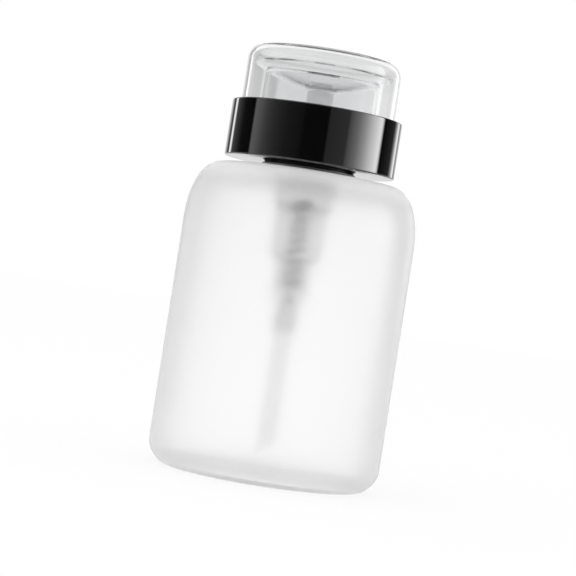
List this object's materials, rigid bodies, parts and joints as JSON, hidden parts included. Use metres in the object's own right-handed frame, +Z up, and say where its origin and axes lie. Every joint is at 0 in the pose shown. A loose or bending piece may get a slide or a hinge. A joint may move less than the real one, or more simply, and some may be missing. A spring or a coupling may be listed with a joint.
{
  "type": "pump dispenser bottle",
  "caption": "Frosted cylindrical bottle with a black screw collar, a press-down pump dish for wetting a pad, and a clear pull-off dome cap.",
  "frame": {"origin": "middle of the base, on the surface that the bottle stands on", "axes": "+Z up along the bottle's axis; the picture looks along +Y with +X to its right, before it leans the bottle"},
  "size_m": [0.065, 0.065, 0.1191],
  "materials": {
    "frosted_plastic": "frosted, translucent white",
    "clear_plastic": "clear, polished",
    "black_plastic": "high gloss black",
    "natural_plastic": "natural, uncoloured plastic",
    "seal_plastic": "soft, satin",
    "foam_gasket": "matte foam",
    "steel": "bright stainless"
  },
  "bodies": {
    "bottle": {"bottle": "frosted_plastic"},
    "pump": {"pump_housing": "natural_plastic", "neck_gasket": "foam_gasket", "stem_guide": "natural_plastic", "dip_tube": "natural_plastic", "inlet_ball_cage": "natural_plastic", "return_spring": "steel"},
    "collar": {"screw_cap": "black_plastic", "outer_collar": "black_plastic"},
    "overcap": {"overcap": "clear_plastic"},
    "piston": {"piston_seal": "seal_plastic"},
    "plunger": {"piston_rod": "natural_plastic", "press_dish": "clear_plastic", "nozzle_insert": "clear_plastic"},
    "inlet_ball": {"inlet_ball": "steel"},
    "outlet_ball": {"outlet_ball": "steel"}
  },
  "joints": [
    {"name": "pump_lift", "type": "slide", "parent": "bottle", "child": "pump", "axis": [0, 0, 1], "range_m": [0, 0.0056]},
    {"name": "collar_turn", "type": "hinge", "parent": "pump", "child": "collar", "pos_m": [0, 0, 0.09], "axis": [0, 0, 1], "range_deg": [0, 630]},
    {"name": "overcap_lift", "type": "slide", "parent": "collar", "child": "overcap", "axis": [0, 0, 1], "range_m": [0, 0.03]},
    {"name": "dish_press", "type": "slide", "parent": "pump", "child": "piston", "axis": [0, 0, -1], "range_m": [0, 0.005], "stiffness_N_per_m": 700, "springref_m": -0.004, "deforming": ["return_spring"]},
    {"name": "dish_turn", "type": "hinge", "parent": "piston", "child": "plunger", "pos_m": [0, 0, 0.09], "axis": [0, 0, 1], "continuous": true},
    {"name": "inlet_ball_lift", "type": "slide", "parent": "pump", "child": "inlet_ball", "axis": [0, 0, 1], "range_m": [0, 0.0006]},
    {"name": "outlet_ball_lift", "type": "slide", "parent": "plunger", "child": "outlet_ball", "axis": [0, 0, 1], "range_m": [0, 0.0008]}
  ],
  "couplings": [
    {"joint": "pump_lift", "follows": "collar_turn", "m_per_rad": 0.00050532}
  ]
}
